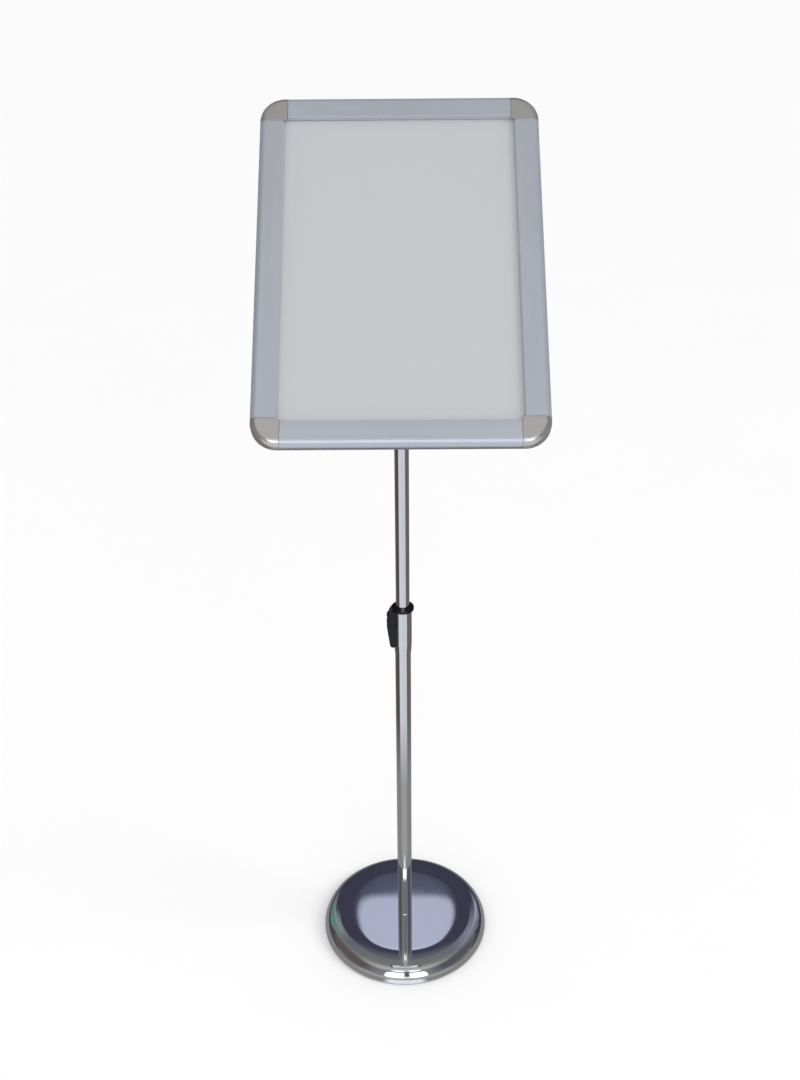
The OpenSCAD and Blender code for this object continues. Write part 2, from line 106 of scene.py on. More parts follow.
class NodeCanvas:
    """A small helper that adds nodes to one node tree and links them."""

    def __init__(self, tree: bpy.types.NodeTree) -> None:
        """Starts on an empty tree.

        Args:
            tree: the node tree to fill.
        """
        self.tree = tree
        tree.nodes.clear()

    def add(self, kind: str, **settings: object) -> bpy.types.Node:
        """Adds a node.

        Args:
            kind: the node's Blender type name.
            settings: properties of the node.

        Returns:
            The new node.
        """
        node = self.tree.nodes.new(kind)
        for name, value in settings.items():
            setattr(node, name, value)
        return node

    def link(self, source: bpy.types.NodeSocket, target: bpy.types.NodeSocket) -> None:
        """Links an output to an input."""
        self.tree.links.new(source, target)

    def feed(self, target: bpy.types.NodeSocket, value: object) -> None:
        """Links a socket to an input, or sets the input to a plain value.

        Args:
            target: the input.
            value: an output socket, a number or a tuple.
        """
        if isinstance(value, bpy.types.NodeSocket):
            self.link(value, target)
        else:
            target.default_value = value

    def math(self, operation: str, *values: object) -> bpy.types.NodeSocket:
        """A Math node.

        Args:
            operation: the operation's Blender name.
            values: its inputs, sockets or numbers.

        Returns:
            The node's output.
        """
        node = self.add("ShaderNodeMath", operation=operation)
        for target, value in zip(node.inputs, values):
            self.feed(target, value)
        return node.outputs[0]

    def mix(self, factor: object, a: object, b: object) -> bpy.types.NodeSocket:
        """A colour mix.

        Args:
            factor: share of b, a socket or a number.
            a: first colour.
            b: second colour.

        Returns:
            The mixed colour's socket.
        """
        node = self.add("ShaderNodeMix", data_type="RGBA")
        self.feed(node.inputs[0], factor)
        self.feed(node.inputs[6], a)
        self.feed(node.inputs[7], b)
        return node.outputs[2]

    def ramp(self, factor: bpy.types.NodeSocket, stops: Tones) -> bpy.types.NodeSocket:
        """A colour ramp.

        Args:
            factor: what is looked up.
            stops: places from 0 to 1 and their colours, at least two.

        Returns:
            The ramp's colour socket.
        """
        node = self.add("ShaderNodeValToRGB")
        elements = node.color_ramp.elements
        while len(elements) < len(stops):
            elements.new(0.5)
        for element, (place, colour) in zip(elements, stops):
            element.position = place
            element.color = (*colour, 1.0)
        self.link(factor, node.inputs[0])
        return node.outputs[0]

    def noise(self, vector: bpy.types.NodeSocket, scale: float, detail: float = 3.0,
              stretch: Triple = (1.0, 1.0, 1.0)) -> bpy.types.NodeSocket:
        """A noise pattern.

        Args:
            vector: the coordinates.
            scale: patches per metre.
            detail: octaves.
            stretch: how much faster the pattern changes along each axis.

        Returns:
            The noise value's socket.
        """
        mapping = self.add("ShaderNodeMapping")
        mapping.inputs["Scale"].default_value = stretch
        self.link(vector, mapping.inputs["Vector"])
        node = self.add("ShaderNodeTexNoise")
        node.inputs["Scale"].default_value = scale
        node.inputs["Detail"].default_value = detail
        self.link(mapping.outputs[0], node.inputs["Vector"])
        return node.outputs["Fac"]

    def spread(self, value: bpy.types.NodeSocket, low: float, high: float, start: float = 0.3,
               stop: float = 0.7) -> bpy.types.NodeSocket:
        """Maps a pattern from start..stop to low..high.

        Args:
            value: the pattern.
            low: result at start.
            high: result at stop.
            start: the pattern's value that gives low.
            stop: the pattern's value that gives high.

        Returns:
            The mapped value's socket.
        """
        node = self.add("ShaderNodeMapRange")
        self.link(value, node.inputs["Value"])
        for name, number in (("From Min", start), ("From Max", stop), ("To Min", low), ("To Max", high)):
            node.inputs[name].default_value = number
        return node.outputs["Result"]


# ---------- finishes ----------


@dataclass(frozen=True)
class Grain:
    """A fine surface pattern that drives colour, roughness and relief.

    Attributes:
        scale: patches per metre.
        stretch: how much faster the pattern changes along each axis.
        detail: octaves of noise.
        rough: how far roughness swings either way.
        relief: height of the relief in millimetres.
        tint: how far the colour swings either way, as a share.
    """

    scale: float
    stretch: Triple = (1.0, 1.0, 1.0)
    detail: float = 3.0
    rough: float = 0.0
    relief: float = 0.0
    tint: float = 0.0


@dataclass(frozen=True)
class Finish:
    """A surface finish: its base look, and the grains laid over it.

    Attributes:
        name: the material's name.
        slot: the material slot that it belongs to; not used.
        colour: base colour, linear.
        metallic: 1 for metal.
        roughness: middle roughness.
        grains: patterns, the coarse ones first.
        alpha: how much the surface covers.
        specular: specular level of a plastic or paint.
        anisotropic: strength of the brushed highlight.
    """

    name: str
    slot: Slot
    colour: Colour
    metallic: float = 0.0
    roughness: float = 0.4
    grains: tuple[Grain, ...] = ()
    alpha: float = 1.0
    specular: float = 0.5
    anisotropic: float = 0.0

    def material(self) -> bpy.types.Material:
        """Makes the material, or finds it if it is made.

        Returns:
            The material.
        """
        found = bpy.data.materials.get(self.name)
        if found is not None:
            return found
        made = bpy.data.materials.new(self.name)
        made.use_nodes = True
        canvas = NodeCanvas(made.node_tree)
        shader = canvas.add("ShaderNodeBsdfPrincipled")
        output = canvas.add("ShaderNodeOutputMaterial")
        canvas.link(shader.outputs[0], output.inputs["Surface"])
        for name, value in (("Metallic", self.metallic), ("Alpha", self.alpha),
                            ("Specular IOR Level", self.specular), ("Anisotropic", self.anisotropic)):
            shader.inputs[name].default_value = value
        self.lay_grains(canvas, shader)
        return made

    def lay_grains(self, canvas: NodeCanvas, shader: bpy.types.Node) -> None:
        """Drives colour, roughness and relief from the grains.

        Args:
            canvas: the material's node tree.
            shader: its surface shader.
        """
        where = canvas.add("ShaderNodeTexCoord").outputs["Object"]
        colour: object = (*self.colour, 1.0)
        roughness: object = self.roughness
        normal = None
        for grain in self.grains:
            pattern = canvas.noise(where, grain.scale, grain.detail, grain.stretch)
            if grain.rough:
                roughness = canvas.math("ADD", roughness, canvas.spread(pattern, -grain.rough, grain.rough))
            if grain.tint:
                lower = tuple(c * (1 - 2 * grain.tint) for c in self.colour)
                colour = canvas.mix(canvas.spread(pattern, 0.5, 0.0), colour, (*lower, 1.0))
            if grain.relief:
                bump = canvas.add("ShaderNodeBump")
                bump.inputs["Strength"].default_value = 1.0
                bump.inputs["Distance"].default_value = grain.relief * MM
                canvas.link(pattern, bump.inputs["Height"])
                if normal is not None:
                    canvas.link(normal, bump.inputs["Normal"])
                normal = bump.outputs["Normal"]
        canvas.feed(shader.inputs["Base Color"], colour)
        canvas.feed(shader.inputs["Roughness"], roughness)
        if normal is not None:
            canvas.link(normal, shader.inputs["Normal"])

    def dress(self, piece: bpy.types.Object) -> None:
        """Puts the finish on a piece.

        Args:
            piece: the piece.
        """
        piece.data.materials.clear()
        piece.data.materials.append(self.material())


POLISHED_CHROME = Finish(
    "polished_chrome", Slot.CHROME, (0.86, 0.865, 0.88), metallic=1.0, roughness=0.03,
    grains=(Grain(9, rough=0.008, relief=0.002), Grain(160, rough=0.008), Grain(900, detail=1, rough=0.006)))
POLE_CHROME = Finish(
    "pole_chrome", Slot.CHROME, (0.86, 0.865, 0.88), metallic=1.0, roughness=0.06,
    grains=(Grain(14, rough=0.015, tint=0.02), Grain(700, (1, 1, 0.04), rough=0.03, relief=0.0006)))
CAP_CHROME = Finish(
    "cap_chrome_plate", Slot.CAP_CHROME, (0.64, 0.63, 0.62), metallic=0.8, roughness=0.2,
    grains=(Grain(30, rough=0.03, relief=0.01), Grain(600, rough=0.03, tint=0.02)))
ANODISED = Finish(
    "satin_anodised", Slot.ALUMINIUM, (0.52, 0.555, 0.62), metallic=0.5, roughness=0.34,
    grains=(Grain(1500, (0.02, 1, 1), detail=4, rough=0.05, relief=0.0015, tint=0.03),
            Grain(12, rough=0.02, tint=0.015)), anisotropic=0.4)
MILL_ALUMINIUM = Finish(
    "extruded_back", Slot.ALUMINIUM, (0.52, 0.54, 0.57), metallic=1.0, roughness=0.42,
    grains=(Grain(900, (0.02, 1, 1), detail=4, rough=0.06, relief=0.003, tint=0.05),
            Grain(15, rough=0.04, tint=0.03)))
MOULDED_PLASTIC = Finish(
    "moulded_black", Slot.BLACK_PLASTIC, (0.005, 0.005, 0.008), roughness=0.22, specular=0.35,
    grains=(Grain(2600, detail=2, rough=0.05, relief=0.006), Grain(60, rough=0.06, tint=0.1)))
BLACK_PAINT = Finish(
    "black_powder_coat", Slot.BLACK_STEEL, (0.018, 0.018, 0.02), roughness=0.48,
    grains=(Grain(1400, detail=2, rough=0.08, relief=0.02), Grain(40, rough=0.05, tint=0.1)))
ZINC = Finish(
    "bright_zinc", Slot.ZINC_STEEL, (0.62, 0.63, 0.62), metallic=1.0, roughness=0.28,
    grains=(Grain(220, rough=0.08, tint=0.06), Grain(2000, detail=2, relief=0.002)))
BLACK_OXIDE = Finish(
    "black_oxide", Slot.ZINC_STEEL, (0.02, 0.02, 0.022), metallic=0.6, roughness=0.35,
    grains=(Grain(300, rough=0.08, tint=0.1), Grain(2000, detail=2, relief=0.002)))
NYLON = Finish(
    "natural_nylon", Slot.NYLON, (0.72, 0.71, 0.66), roughness=0.42,
    grains=(Grain(900, rough=0.05, relief=0.004), Grain(90, tint=0.03)))
CAST_IRON = Finish(
    "cast_iron", Slot.CAST_WEIGHT, (0.045, 0.044, 0.043), metallic=0.4, roughness=0.66,
    grains=(Grain(500, detail=5, rough=0.1, relief=0.15, tint=0.15), Grain(40, rough=0.08, tint=0.1)))
FOAM_RUBBER = Finish(
    "foam_rubber", Slot.PAD_RUBBER, (0.014, 0.014, 0.014), roughness=0.85,
    grains=(Grain(1800, detail=4, rough=0.08, relief=0.08, tint=0.2),))
BRASS = Finish(
    "brass", Slot.BRASS, (0.75, 0.56, 0.24), metallic=1.0, roughness=0.3,
    grains=(Grain(400, rough=0.08, tint=0.06),))
BOARD = Finish(
    "white_board", Slot.WHITE_BOARD, (0.655, 0.66, 0.69), roughness=0.55,
    grains=(Grain(1200, detail=3, rough=0.05, relief=0.004), Grain(6, tint=0.01)))
CLEAR_SHEET = Finish(
    "matt_clear_sheet", Slot.CLEAR_SHEET, (0.62, 0.625, 0.655), roughness=0.34, alpha=0.72,
    grains=(Grain(2500, detail=2, rough=0.05, relief=0.003),))


# ---------- outlines and meshes ----------

CREASE = 20.0
WELD_DISTANCE = 2e-6
BEVEL_ABOVE = 38.0


@dataclass(frozen=True)
class Corner:
    """A corner of an outline, in millimetres.

    Attributes:
        x: first coordinate.
        y: second coordinate.
        r: radius that it is rounded to.
    """

    x: float
    y: float
    r: float = 0.0


def turn_points(centre: Vector, start: Vector, angle: float, steps: int) -> list[Vector]:
    """Points on an arc.

    Args:
        centre: the arc's centre.
        start: its first point.
        angle: how far it turns, in radians, anticlockwise.
        steps: straight pieces that it is made of.

    Returns:
        The points, both ends included.
    """
    spoke = start - centre
    return [centre + Matrix.Rotation(angle * i / steps, 2) @ spoke for i in range(steps + 1)]


def rounded(corners: Sequence[Corner], closed: bool = True, degrees_per_step: float = 6.0) -> list[Vector]:
    """An outline with its corners rounded.

    Args:
        corners: the corners in order.
        closed: whether the last joins the first.
        degrees_per_step: turn of each straight piece of a rounded corner.

    Returns:
        The outline's points in millimetres.
    """
    points: list[Vector] = []
    last = len(corners) - 1
    for i, corner in enumerate(corners):
        here = Vector((corner.x, corner.y))
        if corner.r == 0 or (not closed and i in (0, last)):
            points.append(here)
            continue
        before = corners[i - 1]
        after = corners[(i + 1) % len(corners)]
        back = (Vector((before.x, before.y)) - here).normalized()
        ahead = (Vector((after.x, after.y)) - here).normalized()
        half = back.angle(ahead) / 2
        centre = here + (back + ahead).normalized() * corner.r / math.sin(half)
        turn = math.pi - 2 * half
        if back.x * ahead.y - back.y * ahead.x > 0:
            turn = -turn
        steps = max(2, round(math.degrees(abs(turn)) / degrees_per_step))
        points += turn_points(centre, here + back * corner.r / math.tan(half), turn, steps)
    return points


def arc(x: float, y: float, r: float, start: float, stop: float, steps: int) -> list[Corner]:
    """Corners along an arc, with angles in degrees.

    Args:
        x: centre.
        y: centre.
        r: radius.
        start: first angle.
        stop: last angle.
        steps: straight pieces.

    Returns:
        The corners, both ends included.
    """
    angles = [math.radians(start + (stop - start) * i / steps) for i in range(steps + 1)]
    return [Corner(x + r * math.cos(a), y + r * math.sin(a)) for a in angles]


def finish_mesh(name: str, build: bmesh.types.BMesh, crease: float = CREASE) -> bpy.types.Object:
    """Turns a bmesh into a smooth-shaded object with creased edges.

    Args:
        name: the object's name.
        build: the mesh so far, which is freed.
        crease: angle in degrees past which an edge stays sharp.

    Returns:
        The new object.
    """
    bmesh.ops.remove_doubles(build, verts=build.verts, dist=1e-7)
    bmesh.ops.recalc_face_normals(build, faces=build.faces)
    mesh = bpy.data.meshes.new(name)
    build.to_mesh(mesh)
    build.free()
    mesh.shade_smooth()
    mesh.set_sharp_from_angle(angle=math.radians(crease))
    piece = bpy.data.objects.new(name, mesh)
    bpy.context.scene.collection.objects.link(piece)
    return piece


def revolve(name: str, outline: Sequence[Vector], segments: int, crease: float) -> bpy.types.Object:
    """Turns a closed outline round the Z axis.

    Args:
        name: the object's name.
        outline: (radius, height) points in millimetres.
        segments: steps round the axis.
        crease: angle in degrees past which an edge stays sharp.

    Returns:
        The new object.
    """
    build = bmesh.new()
    rings = []
    for i in range(segments):
        a = 2 * math.pi * i / segments
        c, s = math.cos(a), math.sin(a)
        rings.append([build.verts.new((p.x * c * MM, p.x * s * MM, p.y * MM)) for p in outline])
    count = len(outline)
    for i, ring in enumerate(rings):
        following = rings[(i + 1) % segments]
        for j in range(count):
            k = (j + 1) % count
            build.faces.new((ring[j], following[j], following[k], ring[k]))
    return finish_mesh(name, build, crease)


def sweep(name: str, outline: Sequence[Vector], length: float) -> bpy.types.Object:
    """Runs a closed outline along X, centred, with closed ends.

    Args:
        name: the object's name.
        outline: (Y, Z) points in millimetres.
        length: length in millimetres.

    Returns:
        The new object.
    """
    build = bmesh.new()
    ends = [[build.verts.new((x * MM, p.x * MM, p.y * MM)) for p in outline]
            for x in (-length / 2, length / 2)]
    count = len(outline)
    for j in range(count):
        k = (j + 1) % count
        build.faces.new((ends[0][j], ends[1][j], ends[1][k], ends[0][k]))
    for end in ends:
        build.faces.new(end)
    return finish_mesh(name, build)


def soften(piece: bpy.types.Object, width: float, weld: bool = False) -> None:
    """Rounds a piece's sharp edges a little, so that they catch light.

    Args:
        piece: the piece, whose own mesh isn't changed.
        width: width of the rounding in millimetres.
        weld: whether split points are joined first.
    """
    if weld:
        piece.modifiers.new("weld", "WELD").merge_threshold = WELD_DISTANCE
    bevel = piece.modifiers.new("edge_rounding", "BEVEL")
    bevel.width = width * MM
    bevel.segments = 3
    bevel.limit_method = "ANGLE"
    bevel.angle_limit = math.radians(BEVEL_ABOVE)
    bevel.use_clamp_overlap = True
    piece.modifiers.new("even_shading", "WEIGHTED_NORMAL").keep_sharp = True


def carve(piece: bpy.types.Object, cutter: bpy.types.Object) -> None:
    """Cuts one mesh with another and removes the second.

    Args:
        piece: the piece that is changed.
        cutter: what cuts it.
    """
    cut = piece.modifiers.new("cut", "BOOLEAN")
    cut.operation = "DIFFERENCE"
    cut.solver = "EXACT"
    cut.object = cutter
    graph = bpy.context.evaluated_depsgraph_get()
    made = bpy.data.meshes.new_from_object(piece.evaluated_get(graph))
    piece.modifiers.remove(cut)
    piece.data = made
    bpy.data.objects.remove(cutter)
    made.shade_smooth()
    made.set_sharp_from_angle(angle=math.radians(CREASE))


def block(name: str, low: Sequence[float], high: Sequence[float]) -> bpy.types.Object:
    """A box between two corners, used as a cutter.

    Args:
        name: the object's name.
        low: lowest corner in millimetres.
        high: highest corner in millimetres.

    Returns:
        The new object.
    """
    build = bmesh.new()
    bmesh.ops.create_cube(build, size=1.0)
    for v in build.verts:
        v.co = Vector(((l if c < 0 else h) * MM for c, l, h in zip(v.co, low, high)))
    return finish_mesh(name, build)


def span(node: str) -> tuple[Vector, Vector]:
    """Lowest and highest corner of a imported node, in millimetres."""
    low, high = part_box(node)
    return low / MM, high / MM


@dataclass
class Assembly:
    """A group of pieces that are built, dressed and attached together."""

    def carry(self, nodes: Iterable[str], finish: Finish, edge: float) -> None:
        """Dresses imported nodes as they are.

        Args:
            nodes: the nodes' names.
            finish: their finish.
            edge: width of the rounding on their edges, in millimetres.
        """
        for name in nodes:
            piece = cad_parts[name]
            custom = piece.data.attributes.get("custom_normal")
            if custom is not None:
                piece.data.attributes.remove(custom)
            piece.data.shade_smooth()
            piece.data.set_sharp_from_angle(angle=math.radians(30))
            finish.dress(piece)
            if edge:
                soften(piece, edge, weld=True)
            log.info("carried %s", name)

    def place(self, piece: bpy.types.Object, body: Body, finish: Finish, *nodes: str) -> None:
        """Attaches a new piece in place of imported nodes.

        Args:
            piece: the piece, where it belongs.
            body: the body that it moves with.
            finish: its finish.
            nodes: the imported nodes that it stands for.
        """
        finish.dress(piece)
        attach(piece, body.value)
        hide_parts(*nodes)
        log.info("built %s", piece.name)


# ---------- base ----------


@dataclass
class RoundBase(Assembly):
    """The weighted base: pressed chrome cover, cast weight, closing pan, floor pad and pole bolt.

    Attributes:
        rim_r: rounding radius of the rim.
        rim_z: height of the rim's widest circle.
        rim_start: slope where the rim's rounding begins, in degrees.
        flat_r: radius of the flat middle.
        edge_r: radius of the soft edge between the middle and the rim.
        edge_drop: how far that edge lies below the flat middle.
        edge_round: rounding of that edge.
        flat_rings: rings of faces in the flat middle.
        cover_t: thickness of the cover.
        hole_r: radius of the bolt hole.
    """

    rim_r: float = 22.0
    rim_z: float = 2.214
    rim_start: float = 11.0
    flat_r: float = 82.0
    edge_r: float = 104.0
    edge_drop: float = 0.6
    edge_round: float = 15.0
    flat_rings: int = 12
    cover_t: float = 1.2
    hole_r: float = 4.25

    def cover_outline(self) -> list[Vector]:
        """Section of the cover.

        Returns:
            Its closed outline, (radius, height) in millimetres.
        """
        low, high = span("base_cover")
        run = self.edge_r - self.flat_r
        dome_r = (run ** 2 + self.edge_drop ** 2) / (2 * self.edge_drop)
        slope = math.degrees(math.asin(run / dome_r))
        faces = []
        for t in (0.0, self.cover_t):
            rim = arc(high.x - self.rim_r, self.rim_z, self.rim_r - t, 0, 90 - self.rim_start, 30)
            edge = Corner(self.edge_r, high.z - self.edge_drop - t, self.edge_round)
            dome = arc(self.flat_r, high.z - dome_r, dome_r - t, 90 - slope, 90, 8)
            rings = [Corner(self.flat_r * (1 - i / self.flat_rings), high.z - t)
                     for i in range(1, self.flat_rings)]
            faces.append([Corner(high.x - t, low.z), *rim, edge, *dome[1:], *rings,
                          Corner(self.hole_r, high.z - t)])
        return rounded([*faces[0], *reversed(faces[1])], degrees_per_step=1.5)

    def build(self) -> None:
        """Builds the cover and dresses what it covers."""
        cover = revolve("base_shell", self.cover_outline(), segments=224, crease=8)
        self.place(cover, Body.STAND, POLISHED_CHROME, "base_cover")
        self.carry(["base_weight"], CAST_IRON, 1.0)
        self.carry(["base_pan"], BLACK_PAINT, 0.3)
        self.carry(["base_pad"], FOAM_RUBBER, 0.5)
        self.carry(["pole_bolt", "bolt_washer", "foot_nut"], ZINC, 0.25)


# ---------- pole and clamp ----------


@dataclass
class Pole(Assembly):
    """The two chrome tubes, and the plug and guide at the ends of the upper one.

    Attributes:
        wall: wall thickness of both tubes.
        lip: rounding of a tube's cut ends.
        band: length of the short ring of faces that keeps each end's shading off the tube's side.
    """

    wall: float = 1.0
    lip: float = 0.35
    band: float = 1.2

    def tube(self, name: str, node: str, body: Body) -> None:
        """Builds one tube with eased ends.

        Args:
            name: the piece's name.
            node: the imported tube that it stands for.
            body: the body that it moves with.
        """
        low, high = span(node)
        r = high.x
        corners = [Corner(r - self.wall, low.z, self.lip), Corner(r, low.z, self.lip),
                   Corner(r, low.z + self.band), Corner(r, high.z - self.band),
                   Corner(r, high.z, self.lip), Corner(r - self.wall, high.z, self.lip)]
        piece = revolve(name, rounded(corners, degrees_per_step=22), segments=96, crease=32)
        self.place(piece, body, POLE_CHROME, node)

    def build(self) -> None:
        """Builds both tubes and dresses the fittings in them."""
        self.tube("pole_tube_lower", "lower_tube", Body.STAND)
        self.tube("pole_tube_upper", "upper_tube", Body.MAST)
        self.carry(["mast_knuckle", "guide_bush"], MOULDED_PLASTIC, 0.5)
        self.carry(["knuckle_rivet"], ZINC, 0.0)


@dataclass
class FlipClamp(Assembly):
    """The flip-lever clamp at the top of the lower tube.

    Attributes:
        lead: wall of the sleeve at its foot.
        ease: rounding of the foot's edge and of the mouth's inner edge.
        rim_r: rounding of the mouth's outer edge.
        shoulder_r: rounding where the taper ends.
        shoulder_z: height where the sleeve reaches its full diameter.
        notch_half_w: half width of the notch for the lever.
        notch_z: height of the notch's floor.
        tube_r: radius of the lower tube.
        bush_r: radius of the bush.
    """

    lead: float = 0.5
    ease: float = 0.3
    rim_r: float = 0.5
    shoulder_r: float = 6.0
    shoulder_z: float = 555.5
    notch_half_w: float = 9.9
    notch_z: float = 590.3
    tube_r: float = 11.1
    bush_r: float = 11.35

    def build_sleeve(self) -> None:
        """Builds the chrome sleeve, notched for the lever."""
        low, high = span("clamp_sleeve")
        tube_top = span("lower_tube")[1].z
        r = high.x
        corners = [Corner(self.tube_r, low.z), Corner(self.tube_r + self.lead, low.z, self.ease),
                   Corner(r, self.shoulder_z, self.shoulder_r), Corner(r, high.z, self.rim_r),
                   Corner(self.bush_r, high.z, self.ease), Corner(self.bush_r, tube_top),
                   Corner(self.tube_r, tube_top)]
        outline = rounded(corners, degrees_per_step=4)
        sleeve = revolve("pole_clamp_sleeve", outline, segments=112, crease=CREASE)
        carve(sleeve, block("notch", (-r - 2, -self.notch_half_w, self.notch_z),
                            (0, self.notch_half_w, high.z + 5)))
        soften(sleeve, 0.2)
        self.place(sleeve, Body.STAND, POLE_CHROME, "clamp_sleeve")

    def build(self) -> None:
        """Builds the sleeve and dresses the bush, the lever and what they hold."""
        self.build_sleeve()
        self.carry(["clamp_bush", "clamp_lever"], MOULDED_PLASTIC, 0.6)
        self.carry(["brake_pad"], BRASS, 0.2)
        self.carry(["lever_pin"], BLACK_OXIDE, 0.2)


# ---------- head ----------


@dataclass
class TiltHead(Assembly):
    """The tilting bracket with its bolt, and the plate that the sign turns on."""

    def build(self) -> None:
        """Dresses the bracket, the plate and their fasteners."""
        self.carry(["tilt_bracket", "mount_plate"], BLACK_PAINT, 0.5)
        fasteners = ["tilt_bolt", "tilt_nut", "pivot_stud", "stud_washer", "stud_nut", "plate_nuts"]
        self.carry(fasteners, ZINC, 0.25)
        self.carry(["plate_screws"], ZINC, 0.15)
        self.carry(["tilt_washers", "turn_disc"], NYLON, 0.2)


# ---------- sheet frame ----------


@dataclass
class SheetFrame(Assembly):
    """The snap-open frame with its corner caps, cover sheet and back panel.

    Sizes are in a flat frame on the sign: X right, Y up the sheet, Z out of its back plane.

    Attributes:
        width: outer width.
        height: outer height.
        depth: back plane to rail face.
        lean: how far the sign leans back, in degrees.
        pivot_z: height of the tilt bolt.
        back_off: tilt bolt to back plane.
        rail_w: width of a rail.
        cap_w: side of a corner cap.
        edge_r: rounding of the outer edge.
        rail_t: wall of a rail.
        bevel_w: width of the sloping inner lip.
        lip_z: lowest point of the lip.
        lip_w: thickness of the lip's foot.
        lip_h: height of the lip's upright foot.
        fold_r: rounding of the rail's two inner folds.
        tip_r: rounding of the lip's lower edges.
        hinge_s: hinge axis, in from the outer edge.
        hinge_t: hinge axis, out of the back plane.
        bead_r: radius inside the claw.
        claw_r: outer radius of the claw.
        claw_end: where the claw ends, in degrees from straight in.
        cap_rise: how far the caps stand above the rails.
        cap_wall: wall of a cap.
        cap_foot: height of a cap's lower edge above the back plane.
        chamfer: clip of a cap's inner corner.
        gap: clearance at each end of a snap rail.
        flat: placement of the flat frame in the stand's frame.
    """

    width: float = 341.0
    height: float = 464.0
    depth: float = 15.0
    lean: float = 49.5
    pivot_z: float = 1085.0
    back_off: float = 35.0
    rail_w: float = 31.0
    cap_w: float = 34.0
    edge_r: float = 8.0
    rail_t: float = 1.2
    bevel_w: float = 1.5
    lip_z: float = 9.8
    lip_w: float = 1.4
    lip_h: float = 0.9
    fold_r: float = 0.6
    tip_r: float = 0.25
    hinge_s: float = 2.2
    hinge_t: float = 6.0
    bead_r: float = 1.25
    claw_r: float = 2.0
    claw_end: float = -15.0
    cap_rise: float = 0.3
    cap_wall: float = 1.5
    cap_foot: float = 0.4
    chamfer: float = 3.0
    gap: float = 0.3
    flat: Matrix = field(init=False)

    def __post_init__(self) -> None:
        """Works out where the flat frame lies in the stand's frame."""
        self.flat = (Matrix.Translation((0, 0, self.pivot_z * MM))
                     @ Matrix.Rotation(-math.radians(self.lean), 4, "X")
                     @ Matrix.Translation((0, -self.back_off * MM, 0)) @ Matrix.Rotation(math.pi / 2, 4, "X"))

    def rail_outline(self) -> list[Vector]:
        """Section of a snap rail, with the claw that turns on the back rail's bead.

        Returns:
            Its closed outline, (in from the outer edge, out of the back plane) in millimetres.
        """
        t, top = self.rail_t, self.depth
        bevel_s = self.rail_w - self.bevel_w
        meet = math.degrees(math.acos((t - self.hinge_s) / self.claw_r))
        return rounded([
            Corner(0, self.hinge_t), *arc(self.edge_r, top - self.edge_r, self.edge_r, 180, 90, 18),
            Corner(bevel_s, top, self.fold_r), Corner(self.rail_w, self.lip_z + self.lip_h, 2 * self.tip_r),
            Corner(self.rail_w, self.lip_z, self.tip_r),
            Corner(self.rail_w - self.lip_w, self.lip_z, self.tip_r),
            Corner(bevel_s - t / 2, top - t, self.fold_r),
            *arc(self.edge_r, top - self.edge_r, self.edge_r - t, 90, 180, 12),
            *arc(self.hinge_s, self.hinge_t, self.claw_r, meet, self.claw_end, 12),
            *arc(self.hinge_s, self.hinge_t, self.bead_r, self.claw_end, 180, 14)])

    def build_rail(self, side: Side) -> None:
        """Builds one snap rail.

        Args:
            side: which side of the frame it closes.
        """
        along_x = side in (Side.BOTTOM, Side.TOP)
        length = (self.width if along_x else self.height) - 2 * self.cap_w - 2 * self.gap
        half = (self.height if along_x else self.width) / 2
        name = side.name.lower()
        rail = sweep(f"front_rail_{name}", self.rail_outline(), length)
        rail.matrix_world = (self.flat @ Matrix.Rotation(side.value * math.pi / 2, 4, "Z")
                             @ Matrix.Translation((0, -half * MM, 0)))
        soften(rail, 0.12)
        self.place(rail, Body[f"RAIL_{side.name}"], ANODISED, f"snap_rail_{name}")

    def cap_ring(self, inset: float) -> list[Vector]:
        """The cap's outer path, from one cut end to the other.

        Args:
            inset: how far in from the outer edge.

        Returns:
            The path's points in millimetres.
        """
        r = self.rail_w - inset
        turn = arc(self.rail_w, self.rail_w, r, 270, 180, 24)
        return rounded([Corner(self.cap_w, inset), *turn, Corner(inset, self.cap_w)], closed=False)

    def build_cap(self, name: str, quarter: int, x: float, y: float) -> None:
        """Builds one corner cap.

        Args:
            name: which corner it is.
            quarter: quarter turns from the bottom left corner.
            x: the corner's place across the frame.
            y: the corner's place up the frame.
        """
        top = self.depth + self.cap_rise
        turn = arc(self.edge_r, top - self.edge_r, self.edge_r, 180, 90, 10)
        edge = [(0.0, self.cap_foot)] + [(corner.x, corner.y) for corner in turn]
        build = bmesh.new()
        rings = [[build.verts.new((p.x * MM, p.y * MM, z * MM)) for p in self.cap_ring(inset)]
                 for inset, z in edge]
        for lower, upper in zip(rings, rings[1:]):
            for j in range(len(lower) - 1):
                build.faces.new((lower[j], lower[j + 1], upper[j + 1], upper[j]))
        clip = self.cap_w - self.chamfer
        a = build.verts.new((clip * MM, self.cap_w * MM, top * MM))
        b = build.verts.new((self.cap_w * MM, clip * MM, top * MM))
        build.faces.new((*rings[-1], a, b))
        low = (self.lip_z + self.cap_foot) * MM
        c = build.verts.new((b.co.x, b.co.y, low))
        d = build.verts.new((a.co.x, a.co.y, low))
        build.faces.new((a, d, c, b))
        cap = finish_mesh(f"cap_{name}", build, crease=28)
        cap.matrix_world = (self.flat @ Matrix.Translation((x * MM, y * MM, 0))
                            @ Matrix.Rotation(quarter * math.pi / 2, 4, "Z"))
        wall = cap.modifiers.new("wall", "SOLIDIFY")
        wall.thickness = self.cap_wall * MM
        wall.offset = -1.0
        wall.use_even_offset = True
        soften(cap, 0.3)
        self.place(cap, Body.SIGN, CAP_CHROME, f"corner_cap_{name}")

